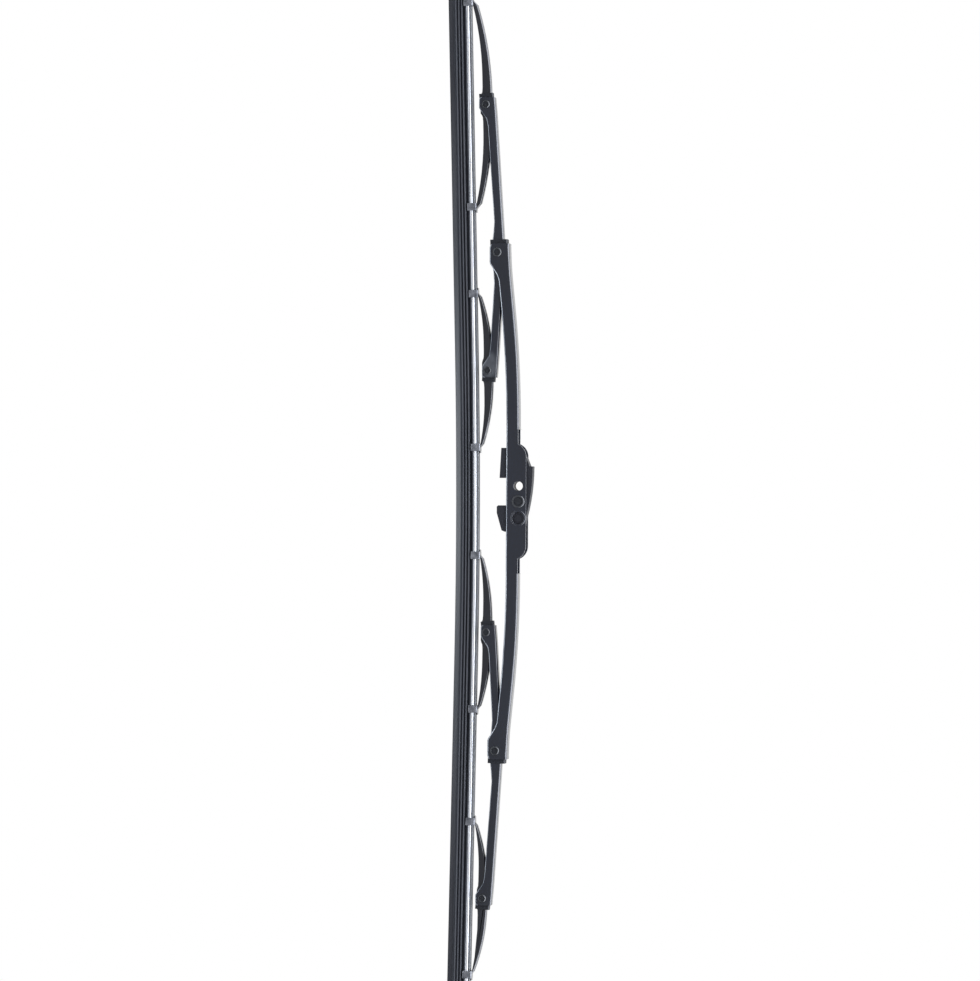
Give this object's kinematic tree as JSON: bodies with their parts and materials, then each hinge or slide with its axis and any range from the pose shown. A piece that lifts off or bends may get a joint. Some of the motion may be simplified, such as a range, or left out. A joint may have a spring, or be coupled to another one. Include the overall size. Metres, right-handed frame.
{
  "type": "wiper blade",
  "caption": "Framed wiper blade: nested pressed-steel channel bridges on rivets, clawed onto a ribbed rubber element with steel splines, and a hook adapter.",
  "frame": {"origin": "axis of the adapter rivet, midway between the flanges of the primary bridge", "axes": "+X along the blade, +Y across it, +Z away from the glass; the side that the picture shows faces -Y and its top end is -X"},
  "size_m": [0.6005, 0.0136, 0.0521],
  "materials": {
    "bridge_paint": "satin dark slate",
    "claw_paint": "satin gunmetal",
    "rubber": "matt",
    "spline_steel": "bright",
    "rivet_steel": "dark coated",
    "liner_plastic": "matt black",
    "adapter_plastic": "fine grain"
  },
  "bodies": {
    "primary": {"primary_bridge": "bridge_paint", "adapter_rivet": "rivet_steel", "primary_rivet_left": "rivet_steel", "primary_rivet_right": "rivet_steel", "primary_liner_left": "liner_plastic", "primary_liner_right": "liner_plastic", "rubber_element": "rubber", "spline_front": "spline_steel", "spline_back": "spline_steel"},
    "adapter": {"arm_adapter": "adapter_plastic"},
    "secondary_left": {"secondary_bridge_left": "bridge_paint", "claw_rivet_left_outer": "rivet_steel", "claw_rivet_left_inner": "rivet_steel", "claw_liner_left_outer": "liner_plastic", "claw_liner_left_inner": "liner_plastic"},
    "secondary_right": {"secondary_bridge_right": "bridge_paint", "claw_rivet_right_outer": "rivet_steel", "claw_rivet_right_inner": "rivet_steel", "claw_liner_right_outer": "liner_plastic", "claw_liner_right_inner": "liner_plastic"},
    "claws_left_outer": {"claw_bridge_left_outer": "claw_paint"},
    "claws_left_inner": {"claw_bridge_left_inner": "claw_paint"},
    "claws_right_inner": {"claw_bridge_right_inner": "claw_paint"},
    "claws_right_outer": {"claw_bridge_right_outer": "claw_paint"}
  },
  "joints": [
    {"name": "secondary_left_pivot", "type": "hinge", "parent": "primary", "child": "secondary_left", "pos_m": [-0.1465, 0, -0.0132], "axis": [0, 1, 0], "range_deg": [-3.5, 1.5], "stiffness_Nm_per_rad": 2.4, "deforming": ["rubber_element", "spline_front", "spline_back"]},
    {"name": "secondary_right_pivot", "type": "hinge", "parent": "primary", "child": "secondary_right", "pos_m": [0.1465, 0, -0.0132], "axis": [0, 1, 0], "range_deg": [-1.6, 3.6]},
    {"name": "claws_left_outer_pivot", "type": "hinge", "parent": "secondary_left", "child": "claws_left_outer", "pos_m": [-0.2335, 0, -0.0205], "axis": [0, 1, 0], "range_deg": [-1.8, 0.9]},
    {"name": "claws_left_inner_pivot", "type": "hinge", "parent": "secondary_left", "child": "claws_left_inner", "pos_m": [-0.077, 0, -0.01885], "axis": [0, 1, 0], "range_deg": [-0.9, 2]},
    {"name": "claws_right_inner_pivot", "type": "hinge", "parent": "secondary_right", "child": "claws_right_inner", "pos_m": [0.077, 0, -0.01885], "axis": [0, 1, 0], "range_deg": [-1.9, 0.9]},
    {"name": "claws_right_outer_pivot", "type": "hinge", "parent": "secondary_right", "child": "claws_right_outer", "pos_m": [0.2335, 0, -0.0205], "axis": [0, 1, 0], "range_deg": [-0.9, 1.9]},
    {"name": "adapter_pivot", "type": "hinge", "parent": "primary", "child": "adapter", "pos_m": [0, 0, 0], "axis": [0, 1, 0], "range_deg": [-12, 12]}
  ],
  "couplings": [
    {"joint": "secondary_right_pivot", "follows": "secondary_left_pivot", "ratio": -0.9832},
    {"joint": "claws_left_outer_pivot", "follows": "secondary_left_pivot", "ratio": 0.4601},
    {"joint": "claws_left_inner_pivot", "follows": "secondary_left_pivot", "ratio": -0.5236},
    {"joint": "claws_right_outer_pivot", "follows": "secondary_left_pivot", "ratio": -0.4922},
    {"joint": "claws_right_inner_pivot", "follows": "secondary_left_pivot", "ratio": 0.4915}
  ]
}
